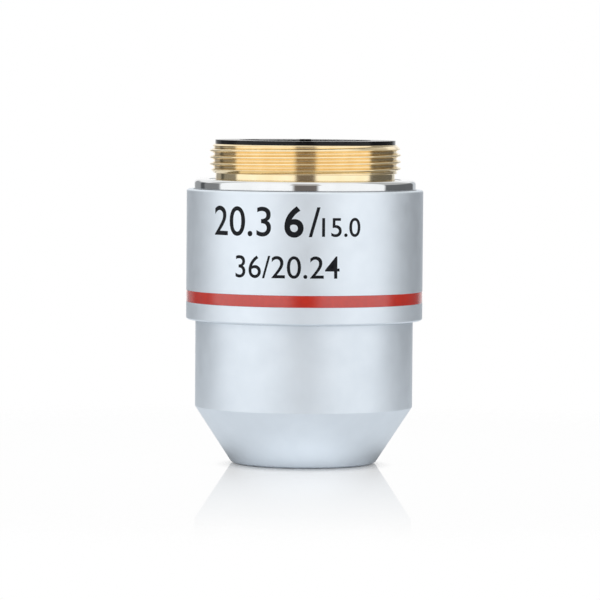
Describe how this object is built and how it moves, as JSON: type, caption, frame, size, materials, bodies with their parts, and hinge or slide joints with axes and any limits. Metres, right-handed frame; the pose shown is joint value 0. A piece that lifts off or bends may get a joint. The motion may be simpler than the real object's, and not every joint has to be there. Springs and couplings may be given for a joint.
{
  "type": "microscope objective",
  "caption": "Low-power plan microscope objective: satin chrome nose and sleeve with a red colour band, polished shoulder, bare brass mounting thread and black rear ring.",
  "frame": {"origin": "centre of the flat nose face, on which the objective can stand", "axes": "+Z along the optical axis, from the specimen towards the mounting thread; X and Y across it, with one locking screw on +X"},
  "size_m": [0.025, 0.025, 0.0341],
  "materials": {
    "satin_chrome": "fine satin chrome plate on turned brass",
    "polished_chrome": "bright polished chrome plate on turned brass",
    "red_enamel": "glossy red enamel filled into a groove",
    "bare_brass": "bright turned brass, bare",
    "plain_brass": "rolled brass shim",
    "blackened_brass": "chemically blackened turned brass",
    "black_anodised": "matt black anodised, turned",
    "screw_steel": "plain steel grub screw",
    "coated_glass": "polished optical glass with a faint violet anti-reflection coating"
  },
  "bodies": {
    "root": {"nose_shell": "satin_chrome", "outer_sleeve": "satin_chrome", "colour_band": "red_enamel", "main_body": "polished_chrome", "mount_ring": "bare_brass", "rear_baffle": "black_anodised", "lens_barrel": "blackened_brass", "parfocal_shim_thick": "plain_brass", "parfocal_shim_thin": "plain_brass", "barrel_lock_ring": "blackened_brass", "locking_screws": "screw_steel", "front_cell": "black_anodised", "front_retaining_ring": "black_anodised", "front_doublet_flint": "coated_glass", "front_doublet_crown": "coated_glass", "front_spacer": "black_anodised", "middle_cell": "black_anodised", "middle_lens": "coated_glass", "middle_retaining_ring": "black_anodised", "aperture_stop": "black_anodised", "rear_cell": "black_anodised", "rear_singlet": "coated_glass", "rear_lens_spacer": "black_anodised", "rear_doublet_crown": "coated_glass", "rear_doublet_flint": "coated_glass", "rear_retaining_ring": "black_anodised", "stack_retaining_ring": "black_anodised"}
  },
  "joints": []
}
